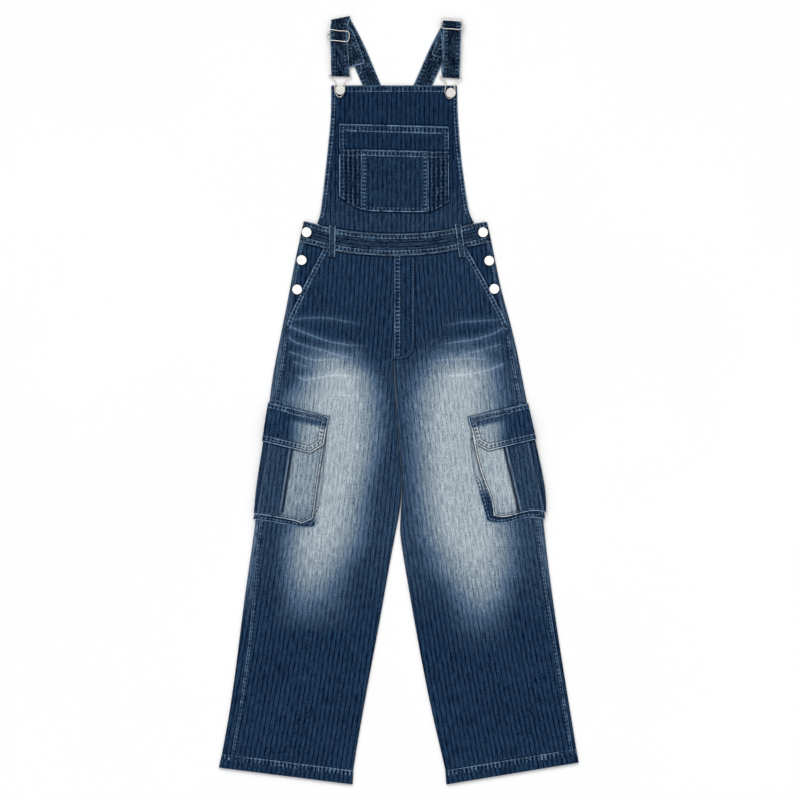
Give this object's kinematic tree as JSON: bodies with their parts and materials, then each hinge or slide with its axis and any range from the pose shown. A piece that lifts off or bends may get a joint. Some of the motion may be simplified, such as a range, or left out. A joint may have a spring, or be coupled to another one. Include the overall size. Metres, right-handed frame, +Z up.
{
  "type": "dungarees",
  "caption": "Denim cargo dungarees laid flat on their back: wide legs with flapped side pockets, a bib with a stepped pocket, and folded straps with slider buckles hooked on buttons.",
  "frame": {"origin": "bottom centre of the garment's bounding box, on the surface that it lies on", "axes": "+Y from the hems to the straps, +Z up from the surface out of the front of the garment, +X to the right as seen from above"},
  "size_m": [0.6657, 1.4205, 0.0211],
  "materials": {
    "leg_denim": "dark indigo denim with fine darker stripes, bleached pale at the thighs",
    "bib_denim": "dark indigo denim with fine darker stripes",
    "trim_denim": "dark indigo denim, doubled, with pale worn edges",
    "hardware": "bright nickel-plated wire and buttons"
  },
  "bodies": {
    "root": {"leg_back_left": "leg_denim", "leg_front_left": "leg_denim", "hip_facing_left": "leg_denim", "cargo_pocket_left": "leg_denim", "cargo_gusset_left": "leg_denim", "cargo_flap_left": "leg_denim", "strap_left": "trim_denim", "belt_loop_left": "trim_denim", "buckle_left": "hardware", "slider_left": "hardware", "bib_button_left": "hardware", "side_button_left_1": "hardware", "side_button_left_2": "hardware", "side_button_left_3": "hardware", "leg_back_right": "leg_denim", "leg_front_right": "leg_denim", "hip_facing_right": "leg_denim", "cargo_pocket_right": "leg_denim", "cargo_gusset_right": "leg_denim", "cargo_flap_right": "leg_denim", "strap_right": "trim_denim", "belt_loop_right": "trim_denim", "buckle_right": "hardware", "slider_right": "hardware", "bib_button_right": "hardware", "side_button_right_1": "hardware", "side_button_right_2": "hardware", "side_button_right_3": "hardware", "waistband_front": "trim_denim", "waistband_back": "trim_denim", "bib_front": "bib_denim", "bib_back": "bib_denim", "bib_pocket_back": "bib_denim", "bib_pocket_front": "bib_denim", "fly": "leg_denim"}
  },
  "joints": []
}
